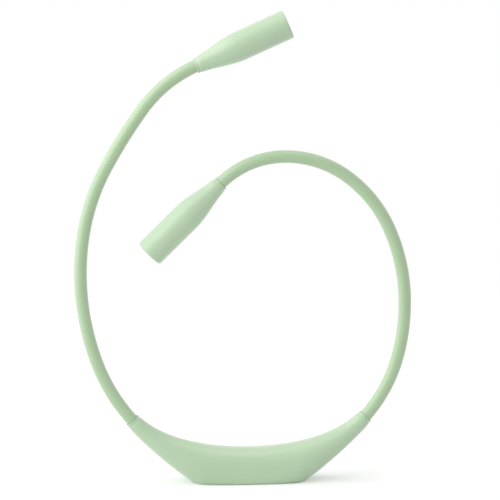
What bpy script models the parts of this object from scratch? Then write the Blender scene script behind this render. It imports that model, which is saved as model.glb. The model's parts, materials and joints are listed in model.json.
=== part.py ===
"""Neck reading light: a crescent battery housing that stands on its flat base, two bendable
arms, and a tapered lamp head on each arm. Metres, +Z up, the front faces -Y, and the origin
is the middle of the flat base."""
import math

import bmesh
import bpy
from mathutils import Matrix, Vector

# Gap between neighbouring pieces, and how far a cutter runs past what it cuts
GAP = 0.0003
OVERRUN = 0.006

# Edges sharper than this stay sharp where a surface is shaded smooth
SHARP_ANGLE = math.radians(40)

# Housing: a crescent with a round mouth at each end
HOUSING_HEIGHT = 0.0193
HOUSING_DEPTH = 0.022
BASE_LENGTH = 0.064
WALL = 0.0016
MOUTH_SPAN = 0.1312
MOUTH_HEIGHT = 0.03615
MOUTH_DIAMETER = 0.0089
MOUTH_ANGLE = math.radians(49)
INLET_CURVE_RADIUS = 0.060
TOP_END_ANGLE = math.radians(47)
UNDERSIDE_END_ANGLE = math.radians(50)
BASE_CORNER_ANGLE = math.radians(35)
TOP_MIDDLE_REACH = 0.0155
TOP_END_REACH = 0.0235
UNDERSIDE_CORNER_REACH = 0.0205
UNDERSIDE_END_REACH = 0.0085
BASE_TRIM = 0.002
SEAM_OFFSET = 0.005
MOUTH_BORE_DEPTH = 0.0150

# Places along the housing, as shares of the way from its middle to a mouth
BASE_STATION_SHARES = (0, 0.35, 0.65, 0.85, 1)
SLOPE_STATION_SHARES = (0.05, 0.12, 0.21, 0.32, 0.45, 0.59, 0.73, 0.87, 1)
CAVITY_END_SHARE = 0.82
COVER_END_SHARE = 0.75
FULL_DEPTH_SHARE = 0.3
BOXY_END_SHARE = 0.42
BUTTON_SHARE = 0.445
SCREW_SHARES = ((0.66, 0.1), (0.325, -0.42))
TOP_SQUARENESS = 2.3
BASE_SQUARENESS = 6.5
OUTLINE_STEPS = 40
SECTION_SIDES = 24
CAVITY_SIDES = 16
BORE_SIDES = 24
BORE_STEPS = 6
POST_ROOT_SHARE = 0.6

# Arms: an elastomer sleeve over a bendable core, bent in equal stretches
ARM_LENGTH = 0.228
ARM_DIAMETER = 0.0072
SLEEVE_WALL = 0.001
CORE_DIAMETER = 0.0046
SLEEVE_INSERT = 0.0075
FERRULE_LENGTH = 0.004
CORE_PAST_SLEEVE = 0.0035
LEFT_BENDS = [math.radians(angle) for angle in (-21.1, -14.6, -15.4, -18.4, -7.4, -30.0)]
RIGHT_BENDS = [math.radians(angle) for angle in (26.1, 18.5, 20.9, 29.1, 37.4, 43.6)]
SLEEVE_SIDES = 12
CORE_SIDES = 8
LINK_STEPS = 5
BALL_STEPS = 3

# Lamp heads: a turned barrel that tapers to its neck
HEAD_LENGTH = 0.056
HEAD_DIAMETER = 0.0165
NECK_DIAMETER = 0.0091
TAPER_LENGTH = 0.0268
RIM_FILLET = 0.0011
LAMP_BORE = 0.0138
CHAMBER_BORE = 0.0112
NECK_BORE_DEPTH = 0.0125
CHAMBER_LENGTH = 0.027
LENS_RECESS = 0.0007
LENS_THICKNESS = 0.0014
LENS_CROWN = 0.0003
LENS_CROWN_SHARE = 0.7
REFLECTOR_LENGTH = 0.0078
REFLECTOR_THROAT = 0.0092
REFLECTOR_WAIST_SHARE = 0.45
REFLECTOR_LIP = 0.0003
LED_BOARD_THICKNESS = 0.001
LED_SIZE = 0.0022
LED_HEIGHT = 0.0008
LED_RING_RADIUS = 0.0024
LED_COUNT = 3
HEAD_SIDES = 20
TAPER_STEPS = 8
FILLET_STEPS = 3

# Circuit board, standing along the housing, and what is on it
BOARD_PAST_BUTTON = 0.00456
BOARD_HEIGHT = 0.0096
BOARD_THICKNESS = 0.001
BOARD_MIDDLE_HEIGHT = 0.012
BOARD_FRONT = 0.001
CHIP_LENGTH = 0.005
CHIP_HEIGHT = 0.0014
CHIP_OFFSET = 0.0175
STATUS_LED_SIZE = 0.0016
STATUS_LED_HEIGHT = 0.0007
STATUS_OFFSET = 0.0095
LIGHT_GUIDE_DIAMETER = 0.002
SWITCH_SIZE = 0.0045
SWITCH_HEIGHT = 0.002
PLUNGER_HEIGHT = 0.0004
PLUNGER_DIAMETER = 0.002

# Charging socket, facing the rear
SOCKET_WIDTH = 0.00894
SOCKET_HEIGHT = 0.00326
SOCKET_WALL = 0.0003
SOCKET_DEPTH = 0.006
SOCKET_RECESS = 0.0006
TONGUE_WIDTH = 0.0067
TONGUE_THICKNESS = 0.0007
TONGUE_LENGTH = 0.0046
SOCKET_ROUND_SHARE = 0.9

# Push buttons in the rear cover
BUTTON_DIAMETER = 0.007
BUTTON_PROUD = 0.0008
BUTTON_EDGE = 0.0004
BUTTON_CROWN = 0.0001
BUTTON_FLANGE_DIAMETER = 0.0086
BUTTON_FLANGE_THICKNESS = 0.0008
BUTTON_FLANGE_DROP = 0.0035
BUTTON_STEM_DIAMETER = 0.0024
BUTTON_TRAVEL = 0.0005
BUTTON_SIDES = 20

# Battery and its foam pad
BATTERY_LENGTH = 0.040
BATTERY_HEIGHT = 0.0114
BATTERY_THICKNESS = 0.007
BATTERY_EDGE = 0.0012
PAD_LENGTH = 0.030
PAD_HEIGHT = 0.004
PAD_THICKNESS = 0.0008

# Screws of the rear cover
SCREW_HEAD_DIAMETER = 0.0036
SCREW_HEAD_HEIGHT = 0.0009
SCREW_SHANK_DIAMETER = 0.002
SCREW_LENGTH = 0.007
SCREW_RECESS_DIAMETER = 0.0015
SCREW_RECESS_DEPTH = 0.0005
SCREW_SEAT = 0.001
BOSS_DIAMETER = 0.0044
POST_DIAMETER = 0.0054
BOSS_SIDES = 12

# Wires
LAMP_LEAD_DIAMETER = 0.0016
BATTERY_LEAD_DIAMETER = 0.0012
BATTERY_LEAD_SPACING = 0.0032
BATTERY_LEAD_REACH = 0.0036
BATTERY_LEAD_DROP = 0.0024
LAMP_LEAD_DROP_SHARE = 0.5
BATTERY_LEAD_STEPS = 9
LAMP_LEAD_STEPS = 5

# Sizes that follow from the ones above
MOUTH_RADIUS = MOUTH_DIAMETER / 2
HALF_DEPTH = HOUSING_DEPTH / 2
ARM_RADIUS = ARM_DIAMETER / 2
SLEEVE_BORE_RADIUS = ARM_RADIUS - SLEEVE_WALL
CORE_RADIUS = CORE_DIAMETER / 2
ARM_BORE_RADIUS = ARM_RADIUS + GAP
LINK_SOCKET_RADIUS = ARM_RADIUS + GAP
BENDS = {"left": LEFT_BENDS, "right": RIGHT_BENDS}
SIGNS = {"left": -1, "right": 1}
LINK_LENGTH = ARM_LENGTH / len(LEFT_BENDS)
FERRULE_MIDDLE = SLEEVE_INSERT + GAP + FERRULE_LENGTH / 2
BOARD_REAR = BOARD_FRONT + BOARD_THICKNESS
BATTERY_REAR = BOARD_FRONT - 2 * GAP - PAD_THICKNESS
SWITCH_BACK = BOARD_REAR + GAP
PLUNGER_TOP = SWITCH_BACK + SWITCH_HEIGHT + PLUNGER_HEIGHT
COUNTERBORE_FLOOR = SEAM_OFFSET + SCREW_SEAT

for old in list(bpy.data.objects):
    bpy.data.objects.remove(old, do_unlink=True)

PARTS = bpy.data.collections.new("neck_reading_light")
CUTTERS = bpy.data.collections.new("cutters")
for collection in (PARTS, CUTTERS):
    bpy.context.scene.collection.children.link(collection)


def linear(hex_colour):
    """An sRGB hex colour as linear red, green, blue and alpha."""
    parts = [int(hex_colour[i:i + 2], 16) / 255 for i in (0, 2, 4)]
    return [c / 12.92 if c <= 0.04045 else ((c + 0.055) / 1.055) ** 2.4 for c in parts] + [1]


def finish(name, hex_colour, roughness, metallic=0.0):
    """A plain material for one kind of piece."""
    material = bpy.data.materials.new(name)
    material.use_nodes = True
    shader = material.node_tree.nodes["Principled BSDF"]
    shader.inputs["Base Color"].default_value = linear(hex_colour)
    shader.inputs["Roughness"].default_value = roughness
    shader.inputs["Metallic"].default_value = metallic
    return material


FINISHES = {
    "housing": finish("mint housing", "b9d2ae", 0.55),
    "sleeve": finish("mint elastomer", "b1cca6", 0.65),
    "steel": finish("steel", "b4b6b8", 0.35, 1.0),
    "aluminium": finish("aluminium", "c9cbcc", 0.4, 1.0),
    "board": finish("green circuit board", "1d5a38", 0.5),
    "dark": finish("black plastic", "1b1c1e", 0.45),
    "cell": finish("battery pouch", "c3c6ca", 0.4, 0.6),
    "foam": finish("grey foam", "4a4b4d", 0.9),
    "clear": finish("clear plastic", "eef2f0", 0.15),
    "mirror": finish("bright reflector", "e3e5e6", 0.15, 1.0),
    "red": finish("red wire", "b3261e", 0.5),
    "white": finish("white wire", "e6e6e2", 0.5),
}


# Placing and making objects

def pivot(name, point, parent=None):
    """An empty on a joint's axis, with no rotation of its own."""
    empty = bpy.data.objects.new(name, None)
    empty.empty_display_size = ARM_RADIUS
    PARTS.objects.link(empty)
    empty.parent = parent
    empty["at"] = tuple(point)
    empty.location = point - Vector(parent["at"]) if parent else point
    return empty


def place(thing, look, world=None, parent=None):
    """Add a part to the scene at a world matrix, under a pivot if it has one."""
    PARTS.objects.link(thing)
    thing.data.materials.append(FINISHES[look])
    thing.parent = parent
    thing.matrix_basis = world if world else Matrix.Identity(4)
    if parent:
        thing.matrix_basis = Matrix.Translation(-Vector(parent["at"])) @ thing.matrix_basis
    return thing


def object_of(name, bm):
    """An object that holds a bmesh, shaded smooth with its sharp edges kept."""
    bmesh.ops.recalc_face_normals(bm, faces=bm.faces)
    mesh = bpy.data.meshes.new(name)
    bm.to_mesh(mesh)
    bm.free()
    mesh.shade_smooth()
    mesh.set_sharp_from_angle(angle=SHARP_ANGLE)
    return bpy.data.objects.new(name, mesh)


def tool(name, bm):
    """A shape that other parts are cut by or joined with, and that isn't a part."""
    thing = object_of(name, bm)
    CUTTERS.objects.link(thing)
    thing.hide_render = True
    thing.display_type = "WIRE"
    return thing


def combine(thing, operation, other):
    """Cut a part by a tool, join it with one, or keep what they share."""
    modifier = thing.modifiers.new(operation.lower() + " " + other.name, "BOOLEAN")
    modifier.operation = operation
    modifier.object = other
    modifier.solver = "EXACT"


def loft(rings, closed=False):
    """A bmesh through rings of points. A closed loft runs round to its first ring."""
    bm = bmesh.new()
    rows = [[bm.verts.new(point) for point in ring] for ring in rings]
    pairs = list(zip(rows, rows[1:]))
    if closed:
        pairs.append((rows[-1], rows[0]))
    else:
        bm.faces.new(rows[0])
        bm.faces.new(rows[-1])
    for low, high in pairs:
        for i, corner in enumerate(low):
            after = (i + 1) % len(low)
            bm.faces.new((corner, low[after], high[after], high[i]))
    return bm


def add_box(bm, low, high, edge=0.0):
    """A box between two corners. Its edges along Y are rounded where edge is set."""
    size = Vector(high) - Vector(low)
    made = bmesh.ops.create_cube(bm, size=1, matrix=Matrix.LocRotScale(
        (Vector(low) + Vector(high)) / 2, None, size))
    if edge:
        corners = {vert for vert in made["verts"]}
        long_edges = [e for e in bm.edges if set(e.verts) <= corners
                      and e.verts[0].co.xz == e.verts[1].co.xz]
        bmesh.ops.bevel(bm, geom=long_edges, offset=edge, segments=FILLET_STEPS,
                        affect="EDGES", profile=0.5)
    return bm


def add_peg(bm, radius, start, end, sides):
    """A round peg from one point to another."""
    start, end = Vector(start), Vector(end)
    turn = (end - start).to_track_quat("Z", "Y")
    matrix = Matrix.LocRotScale((start + end) / 2, turn, None)
    bmesh.ops.create_cone(bm, cap_ends=True, segments=sides, radius1=radius, radius2=radius,
                          depth=(end - start).length, matrix=matrix)
    return bm


def turned(name, profile, sides, closed=False):
    """A part turned about its own Z from (radius, height) points, given down its outer side."""
    mesh = bpy.data.meshes.new(name)
    count = len(profile)
    edges = [(i, i + 1) for i in range(count - 1)] + ([(count - 1, 0)] if closed else [])
    mesh.from_pydata([(radius, 0, height) for radius, height in profile], edges, [])
    thing = bpy.data.objects.new(name, mesh)
    screw = thing.modifiers.new("turn", "SCREW")
    screw.steps = screw.render_steps = sides
    screw.use_merge_vertices = True
    screw.merge_threshold = GAP / 100
    return thing


def fillet(radius, height, size):
    """Points of a quarter round at a turned part's upper outer corner, from top to side."""
    angles = [math.pi / 2 * (1 - i / FILLET_STEPS) for i in range(FILLET_STEPS + 1)]
    return [(radius - size + size * math.cos(a), height - size + size * math.sin(a))
            for a in angles]


# The housing's outline and cross-sections

def bezier(a, b, c, d, t):
    """A point on a cubic curve."""
    return a * (1 - t) ** 3 + b * (3 * t * (1 - t) ** 2) + c * (3 * t * t * (1 - t)) + d * t ** 3


def curve_points(a, b, c, d, count):
    """Points along a cubic curve."""
    return [bezier(a, b, c, d, i / count) for i in range(count + 1)]


def lengths(path):
    """The distance along a path at each of its points."""
    total = [0.0]
    for near, far in zip(path, path[1:]):
        total.append(total[-1] + (far - near).length)
    return total


def at_share(path, share):
    """The point at a share of a path's length."""
    run = lengths(path)
    wanted = share * run[-1]
    for i in range(len(path) - 1):
        if wanted <= run[i + 1]:
            return path[i].lerp(path[i + 1], (wanted - run[i]) / (run[i + 1] - run[i]))
    return path[-1]


def direction(angle):
    """A unit vector in the plane of the arms, turned up from +X."""
    return Vector((math.cos(angle), 0, math.sin(angle)))


def ease(t):
    """A smooth step from 0 to 1."""
    t = min(max(t, 0), 1)
    return t * t * (3 - 2 * t)


MOUTH = Vector((MOUTH_SPAN / 2, 0, MOUTH_HEIGHT))
MOUTH_UP = direction(MOUTH_ANGLE + math.pi / 2)
TOP_MIDDLE = Vector((0, 0, HOUSING_HEIGHT))
TOP_END = MOUTH + MOUTH_UP * MOUTH_RADIUS
UNDERSIDE_END = MOUTH - MOUTH_UP * MOUTH_RADIUS
BASE_TIP = Vector((BASE_LENGTH / 2, 0, 0))
TOP_PATH = curve_points(
    TOP_MIDDLE, TOP_MIDDLE + direction(0) * TOP_MIDDLE_REACH,
    TOP_END - direction(TOP_END_ANGLE) * TOP_END_REACH, TOP_END, OUTLINE_STEPS)
TRIM_CORNER = BASE_TIP - direction(BASE_CORNER_ANGLE) * (BASE_TRIM / math.sin(BASE_CORNER_ANGLE))
UNDERSIDE_PATH = [Vector((0, 0, -BASE_TRIM)), TRIM_CORNER] + curve_points(
    BASE_TIP, BASE_TIP + direction(BASE_CORNER_ANGLE) * UNDERSIDE_CORNER_REACH,
    UNDERSIDE_END - direction(UNDERSIDE_END_ANGLE) * UNDERSIDE_END_REACH, UNDERSIDE_END,
    OUTLINE_STEPS)
CORNER_SHARE = TRIM_CORNER.x / lengths(UNDERSIDE_PATH)[-1]
STATIONS = [share * CORNER_SHARE for share in BASE_STATION_SHARES]
STATIONS += [CORNER_SHARE + share * (1 - CORNER_SHARE) for share in SLOPE_STATION_SHARES]


def section_frame(share):
    """Middle, up direction, half height and half depth of the housing at a share."""
    top = at_share(TOP_PATH, share)
    low = at_share(UNDERSIDE_PATH, share)
    narrowing = ease((1 - share) / (1 - FULL_DEPTH_SHARE))
    half_depth = MOUTH_RADIUS + (HALF_DEPTH - MOUTH_RADIUS) * narrowing
    return (top + low) / 2, (top - low).normalized(), (top - low).length / 2, half_depth


def section(share, inset, sides):
    """One ring of points round the housing. A share below zero is on the left."""
    middle, up, half_height, half_depth = section_frame(abs(share))
    top_power = 2 / (2 + (TOP_SQUARENESS - 2) * ease(1 - abs(share)))
    boxiness = ease(1 - abs(share) / BOXY_END_SHARE)
    low_power = 2 / (2 + (BASE_SQUARENESS - 2) * boxiness)
    ring = []
    for i in range(sides):
        angle = 2 * math.pi * i / sides
        across, along = math.cos(angle), math.sin(angle)
        power = top_power if along > 0 else low_power
        y = math.copysign(abs(across) ** power, across) * (half_depth - inset)
        rise = math.copysign(abs(along) ** power, along) * (half_height - inset)
        point = middle + up * rise
        ring.append(Vector((math.copysign(1, share) * point.x, y, point.z)))
    return ring


def housing_block(inset, sides, end_share, floor):
    """The housing as one solid, shrunk by an inset and cut flat at a floor height."""
    half = [share for share in STATIONS if share < end_share] + [end_share]
    shares = [-share for share in reversed(half[1:])] + half
    bm = loft([section(share, inset, sides) for share in shares])
    below = bmesh.ops.bisect_plane(bm, geom=bm.verts[:] + bm.edges[:] + bm.faces[:],
                                   plane_co=(0, 0, floor), plane_no=(0, 0, -1),
                                   clear_outer=True, dist=GAP / 1000)
    rim = [e for e in below["geom_cut"] if isinstance(e, bmesh.types.BMEdge)]
    bmesh.ops.edgeloop_fill(bm, edges=rim)
    return bm


def cover_prism(end_share, seam):
    """The space behind the seam, between the rear cover's two ends."""
    top, low = at_share(TOP_PATH, end_share), at_share(UNDERSIDE_PATH, end_share)
    slope = (low.x - top.x) / (top.z - low.z)
    high, deep = MOUTH_HEIGHT + OVERRUN, -OVERRUN
    wide, narrow = low.x + slope * (low.z - deep), top.x - slope * (high - top.z)
    outline = ((-wide, deep), (wide, deep), (narrow, high), (-narrow, high))
    return loft([[Vector((x, y, z)) for x, z in outline] for y in (seam, HALF_DEPTH + OVERRUN)])


def screw_places():
    """Where each screw's axis crosses the plane of the arms, as (name, x, z)."""
    spots = []
    for number, (share, rise) in enumerate(SCREW_SHARES, 1):
        middle, up, half_height, _ = section_frame(share)
        spot = middle + up * rise * half_height
        spots += [("%s_%d" % (side, number), sign * spot.x, spot.z)
                  for side, sign in SIGNS.items()]
    return spots


def depth_at(x):
    """The housing's half depth where the middle of its section is at x."""
    low, high = 0.0, 1.0
    while high - low > GAP:
        share = (low + high) / 2
        if section_frame(share)[0].x < abs(x):
            low = share
        else:
            high = share
    return section_frame(low)[3]


BUTTON_X = section_frame(BUTTON_SHARE)[0].x
BUTTON_TOP = depth_at(BUTTON_X) + BUTTON_PROUD
SOCKET_MOUTH = HALF_DEPTH - SOCKET_RECESS
BOARD_END = BUTTON_X + BOARD_PAST_BUTTON


# The arms' route

def along_arc(point, heading, run, turn):
    """Where an arc ends that starts at a point and turns evenly, and its heading there."""
    chord = run * math.sin(turn / 2) / (turn / 2) if turn else run
    return point + direction(heading + turn / 2) * chord, heading + turn


def arm_place(side, distance):
    """The point on an arm's middle line at a distance from its mouth, and the heading. Inside
    the housing, where the distance is below zero, the line follows the crescent's curve."""
    sign = SIGNS[side]
    point = Vector((sign * MOUTH.x, 0, MOUTH.z))
    heading = MOUTH_ANGLE if sign > 0 else math.pi - MOUTH_ANGLE
    if distance < 0:
        return along_arc(point, heading, distance, sign * distance / INLET_CURVE_RADIUS)
    for bend in BENDS[side]:
        run = min(distance, LINK_LENGTH)
        point, heading = along_arc(point, heading, run, bend * run / LINK_LENGTH)
        distance -= run
    return along_arc(point, heading, distance, 0)


def joint_distance(number):
    """How far along an arm a joint is, counted from 1 at the housing."""
    return (number - 0.5) * LINK_LENGTH


def arm_ring(side, distance, offset, radius, sides):
    """A ring square to an arm, set off along the heading that the arm has at a distance."""
    point, heading = arm_place(side, distance)
    along, across = direction(heading), direction(heading + math.pi / 2)
    ring = []
    for i in range(sides):
        angle = 2 * math.pi * i / sides
        out = across * math.cos(angle) + Vector((0, math.sin(angle), 0))
        ring.append(point + along * offset + out * radius)
    return ring


def between(start, end, steps):
    """The distances that split a stretch evenly, without its ends."""
    return [start + (end - start) * i / steps for i in range(1, steps)]


def sleeve_rings(side, number):
    """Rings of one sleeve link, out along its skin and back along its bore. A link starts
    with a ball that turns in the hollow end of the link before it."""
    last = len(BENDS[side])
    skin, bore = ARM_RADIUS, SLEEVE_BORE_RADIUS
    hollow = LINK_SOCKET_RADIUS
    if number == 0:
        start = -SLEEVE_INSERT
        first = [(start, 0, bore), (start, 0, skin)]
    else:
        start = joint_distance(number)
        narrow = math.asin(bore / skin)
        angles = [narrow + (math.pi / 2 - narrow) * i / BALL_STEPS for i in range(BALL_STEPS + 1)]
        first = [(start, -skin * math.cos(a), skin * math.sin(a)) for a in angles]
    if number == last:
        end = ARM_LENGTH + SLEEVE_INSERT
        final = [(end, 0, skin), (end, 0, bore)]
    else:
        end = joint_distance(number + 1)
        mean = (skin + bore) / 2
        final = [(end, -math.sqrt(hollow ** 2 - r ** 2), r) for r in (skin, mean, bore)]
    inner = between(start, end, LINK_STEPS)
    spots = first + [(d, 0, skin) for d in inner] + final + [(d, 0, bore) for d in reversed(inner)]
    return [arm_ring(side, *spot, SLEEVE_SIDES) for spot in spots]


def core_rings(side, number):
    """Rings of one core link, which stops short of the next link's ball."""
    last = len(BENDS[side])
    ball_mouth = math.sqrt(ARM_RADIUS ** 2 - SLEEVE_BORE_RADIUS ** 2)
    past = SLEEVE_INSERT + CORE_PAST_SLEEVE
    start = joint_distance(number) if number else -past
    end = joint_distance(number + 1) if number < last else ARM_LENGTH + past
    spots = [(start, -ball_mouth if number else 0)]
    spots += [(d, 0) for d in between(start, end, LINK_STEPS)]
    spots += [(end, -LINK_SOCKET_RADIUS if number < last else 0)]
    return [arm_ring(side, distance, offset, CORE_RADIUS, CORE_SIDES) for distance, offset in spots]


# Pieces of the housing

def mouth_bore(side):
    """The hole for an arm, from the housing's cavity out past its mouth."""
    spots = between(-MOUTH_BORE_DEPTH, OVERRUN, BORE_STEPS)
    return loft([arm_ring(side, spot, 0, ARM_BORE_RADIUS, BORE_SIDES)
                 for spot in [-MOUTH_BORE_DEPTH] + spots + [OVERRUN]])


def housing_shells():
    """The front shell with its two mouths, and the rear cover that closes it."""
    cavity = tool("cavity", housing_block(WALL, CAVITY_SIDES, CAVITY_END_SHARE, WALL))
    bosses, pilot_holes, posts, screw_holes, counterbores = (bmesh.new() for _ in range(5))
    shank, head = SCREW_SHANK_DIAMETER / 2 + GAP, SCREW_HEAD_DIAMETER / 2 + GAP
    tip = COUNTERBORE_FLOOR - SCREW_LENGTH - GAP
    far = HALF_DEPTH + OVERRUN
    for name, x, z in screw_places():
        add_peg(bosses, BOSS_DIAMETER / 2, (x, -far, z), (x, SEAM_OFFSET, z), BOSS_SIDES)
        add_peg(pilot_holes, shank, (x, tip, z), (x, SEAM_OFFSET + OVERRUN, z), BOSS_SIDES)
        add_peg(posts, POST_DIAMETER / 2, (x, SEAM_OFFSET + GAP, z), (x, far, z), BOSS_SIDES)
        add_peg(screw_holes, shank, (x, SEAM_OFFSET - GAP, z), (x, far, z), BOSS_SIDES)
        add_peg(counterbores, head, (x, COUNTERBORE_FLOOR, z), (x, far, z), BOSS_SIDES)
    root = WALL * POST_ROOT_SHARE
    inside = tool("inside_of_skin", housing_block(root, SECTION_SIDES, 1, root))
    boss_tool, post_tool = tool("screw_bosses", bosses), tool("screw_posts", posts)
    combine(boss_tool, "INTERSECT", inside)
    combine(post_tool, "INTERSECT", inside)
    front = object_of("front_shell", housing_block(0, SECTION_SIDES, 1, 0))
    combine(front, "DIFFERENCE", tool("cover_space", cover_prism(COVER_END_SHARE, SEAM_OFFSET)))
    combine(front, "DIFFERENCE", cavity)
    for side in SIGNS:
        combine(front, "DIFFERENCE", tool(side + "_mouth_bore", mouth_bore(side)))
    combine(front, "UNION", boss_tool)
    combine(front, "DIFFERENCE", tool("pilot_holes", pilot_holes))
    place(front, "housing")

    end_share = COVER_END_SHARE - GAP / lengths(TOP_PATH)[-1]
    cover = object_of("rear_cover", housing_block(0, SECTION_SIDES, 1, 0))
    combine(cover, "INTERSECT", tool("cover_block", cover_prism(end_share, SEAM_OFFSET + GAP)))
    combine(cover, "DIFFERENCE", cavity)
    combine(cover, "UNION", post_tool)
    combine(cover, "DIFFERENCE", tool("screw_holes", screw_holes))
    combine(cover, "DIFFERENCE", tool("counterbores", counterbores))
    combine(cover, "DIFFERENCE", tool("cover_openings", cover_openings()))
    place(cover, "housing")


def cover_openings():
    """Openings in the rear cover for the socket, the light guide and the buttons."""
    bm = bmesh.new()
    half_width, half_height = SOCKET_WIDTH / 2 + GAP, SOCKET_HEIGHT / 2 + GAP
    far = HALF_DEPTH + OVERRUN
    z = BOARD_MIDDLE_HEIGHT
    add_box(bm, (-half_width, SEAM_OFFSET, z - half_height), (half_width, far, z + half_height),
            edge=half_height * SOCKET_ROUND_SHARE)
    for x, radius in ((STATUS_OFFSET, LIGHT_GUIDE_DIAMETER / 2 + GAP),
                      (-BUTTON_X, BUTTON_DIAMETER / 2 + GAP), (BUTTON_X, BUTTON_DIAMETER / 2 + GAP)):
        add_peg(bm, radius, (x, SEAM_OFFSET, z), (x, far, z), BUTTON_SIDES)
    return bm


def screws():
    """The cover's screws, each sunk in its post and reaching into its boss."""
    head, shank, recess = (d / 2 for d in
                           (SCREW_HEAD_DIAMETER, SCREW_SHANK_DIAMETER, SCREW_RECESS_DIAMETER))
    under = COUNTERBORE_FLOOR + GAP
    top = under + SCREW_HEAD_HEIGHT
    profile = [(0, top - SCREW_RECESS_DEPTH), (recess, top - SCREW_RECESS_DEPTH), (recess, top),
               (head, top), (head, under), (shank, under), (shank, under - SCREW_LENGTH),
               (0, under - SCREW_LENGTH)]
    for name, x, z in screw_places():
        place(turned("cover_screw_" + name, profile, BOSS_SIDES), "steel", facing_rear(x, z))


def facing_rear(x, z):
    """A world matrix that stands a turned part's axis along +Y, its height counted from y = 0."""
    return Matrix.Translation((x, 0, z)) @ Matrix.Rotation(-math.pi / 2, 4, "X")


def circuit_board():
    """The board with its chips and its status lamp."""
    z, half_height = BOARD_MIDDLE_HEIGHT, BOARD_HEIGHT / 2
    board = object_of("circuit_board", add_box(
        bmesh.new(), (-BOARD_END, BOARD_FRONT, z - half_height),
        (BOARD_END, BOARD_REAR, z + half_height)))
    chips, chip, lamp = bmesh.new(), CHIP_LENGTH / 2, STATUS_LED_SIZE / 2
    for x in (-CHIP_OFFSET, CHIP_OFFSET):
        add_box(chips, (x - chip, BOARD_REAR - GAP, z - chip),
                (x + chip, BOARD_REAR + CHIP_HEIGHT, z + chip))
    add_box(chips, (STATUS_OFFSET - lamp, BOARD_REAR - GAP, z - lamp),
            (STATUS_OFFSET + lamp, BOARD_REAR + STATUS_LED_HEIGHT, z + lamp))
    combine(board, "UNION", tool("chips", chips))
    place(board, "board")


def light_guide():
    """The rod that carries the status lamp's light to the rear cover's skin."""
    radius, end = LIGHT_GUIDE_DIAMETER / 2, SOCKET_MOUTH + GAP
    start = BOARD_REAR + STATUS_LED_HEIGHT + GAP
    profile = [(0, end), (radius, end), (radius, start), (0, start)]
    place(turned("status_light_guide", profile, BOSS_SIDES), "clear",
          facing_rear(STATUS_OFFSET, BOARD_MIDDLE_HEIGHT))


def charging_socket():
    """A socket shell with a hollow mouth and a tongue in it."""
    z, x, h = BOARD_MIDDLE_HEIGHT, SOCKET_WIDTH / 2, SOCKET_HEIGHT / 2
    floor, far = SOCKET_MOUTH - SOCKET_DEPTH, SOCKET_MOUTH + OVERRUN
    socket = object_of("charging_socket", add_box(
        bmesh.new(), (-x, BOARD_REAR + GAP, z - h), (x, SOCKET_MOUTH, z + h),
        edge=h * SOCKET_ROUND_SHARE))
    x, h = x - SOCKET_WALL, h - SOCKET_WALL
    combine(socket, "DIFFERENCE", tool("socket_mouth", add_box(
        bmesh.new(), (-x, floor, z - h), (x, far, z + h), edge=h * SOCKET_ROUND_SHARE)))
    x, h = TONGUE_WIDTH / 2, TONGUE_THICKNESS / 2
    combine(socket, "UNION", tool("socket_tongue", add_box(
        bmesh.new(), (-x, floor - GAP, z - h), (x, floor + TONGUE_LENGTH, z + h))))
    place(socket, "steel")


def battery():
    """The pouch cell that rests on the floor of the housing, and the pad that holds it."""
    half, front = BATTERY_LENGTH / 2, BATTERY_REAR - BATTERY_THICKNESS
    low, high = WALL + GAP, WALL + GAP + BATTERY_HEIGHT
    place(object_of("battery_cell", add_box(
        bmesh.new(), (-half, front, low), (half, BATTERY_REAR, high), edge=BATTERY_EDGE)), "cell")
    half, front = PAD_LENGTH / 2, BATTERY_REAR + GAP
    low, high = BOARD_MIDDLE_HEIGHT - PAD_HEIGHT, BOARD_MIDDLE_HEIGHT
    place(object_of("battery_pad", add_box(
        bmesh.new(), (-half, front, low), (half, front + PAD_THICKNESS, high))), "foam")


def sweep(start, start_along, end, end_along, count):
    """Points of a smooth curve between two points, with a direction given at each."""
    reach = (end - start).length / 3
    return curve_points(start, start + start_along * reach, end - end_along * reach, end, count)


def lead(name, diameter, look, points):
    """A wire through points, between two pieces that it joins."""
    curve = bpy.data.curves.new(name, "CURVE")
    curve.dimensions = "3D"
    curve.bevel_depth = diameter / 2
    curve.bevel_resolution = 2
    curve.use_fill_caps = True
    spline = curve.splines.new("POLY")
    spline.points.add(len(points) - 1)
    for knot, point in zip(spline.points, points):
        knot.co = (*point, 1)
    place(bpy.data.objects.new(name, curve), look)


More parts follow.
